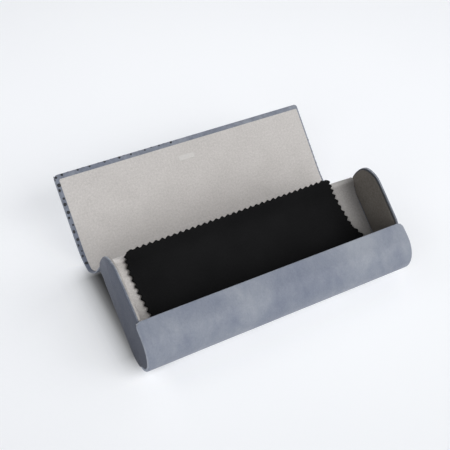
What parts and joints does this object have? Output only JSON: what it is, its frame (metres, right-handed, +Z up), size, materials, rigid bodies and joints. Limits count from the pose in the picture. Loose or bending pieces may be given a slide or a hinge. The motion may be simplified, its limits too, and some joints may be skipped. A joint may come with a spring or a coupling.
{
  "type": "eyeglasses case",
  "caption": "Oval-section eyeglasses case lying open: blue-grey leather-covered tray with end caps, padded lid on a soft spine, pale lining and a folded black cloth.",
  "frame": {"origin": "middle of the open case's bounding box, on the table it lies on", "axes": "+X along the length of the case, +Y to the rear where the opened lid lies, +Z up"},
  "size_m": [0.16, 0.1289, 0.045],
  "materials": {
    "leather_cover": "smooth blue-grey leatherette with cloudy mottling",
    "edge_binding": "dark cut edge of the leatherette",
    "lining": "warm grey short-pile velvet",
    "lining_patch": "slightly raised paler velvet over the magnet",
    "sheet_steel": "thin rolled sheet, hidden",
    "magnet": "plated flat magnet, hidden",
    "fibreboard": "pressed fibreboard, hidden",
    "foam": "soft foam sheet, hidden",
    "cloth": "black microfibre with pinked edges"
  },
  "bodies": {
    "base": {"base_leather_cover": "leather_cover", "base_steel_shell": "sheet_steel", "base_lining": "lining", "base_magnet_strip": "magnet", "end_cap_leather_left": "leather_cover", "end_cap_board_left": "fibreboard", "end_cap_lining_left": "lining", "end_cap_edge_binding_left": "edge_binding", "end_cap_leather_right": "leather_cover", "end_cap_board_right": "fibreboard", "end_cap_lining_right": "lining", "end_cap_edge_binding_right": "edge_binding", "spine_leather_strip": "leather_cover", "spine_lining_strip": "lining"},
    "lid": {"lid_leather_cover": "leather_cover", "lid_steel_shell": "sheet_steel", "lid_foam_pad": "foam", "lid_lining": "lining", "lid_magnet_strip": "magnet", "lid_lining_patch": "lining_patch"},
    "cloth": {"cleaning_cloth": "cloth"}
  },
  "joints": [
    {"name": "lid_hinge", "type": "hinge", "parent": "base", "child": "lid", "pos_m": [0, -0.00044, 0.02343], "axis": [1, 0, 0], "range_deg": [0, 169.3], "deforming": ["spine_leather_strip", "spine_lining_strip"]},
    {"name": "cloth_lift", "type": "slide", "parent": "base", "child": "cloth", "axis": [0, 0.056, 0.9984], "range_m": [0, 0.12]}
  ]
}
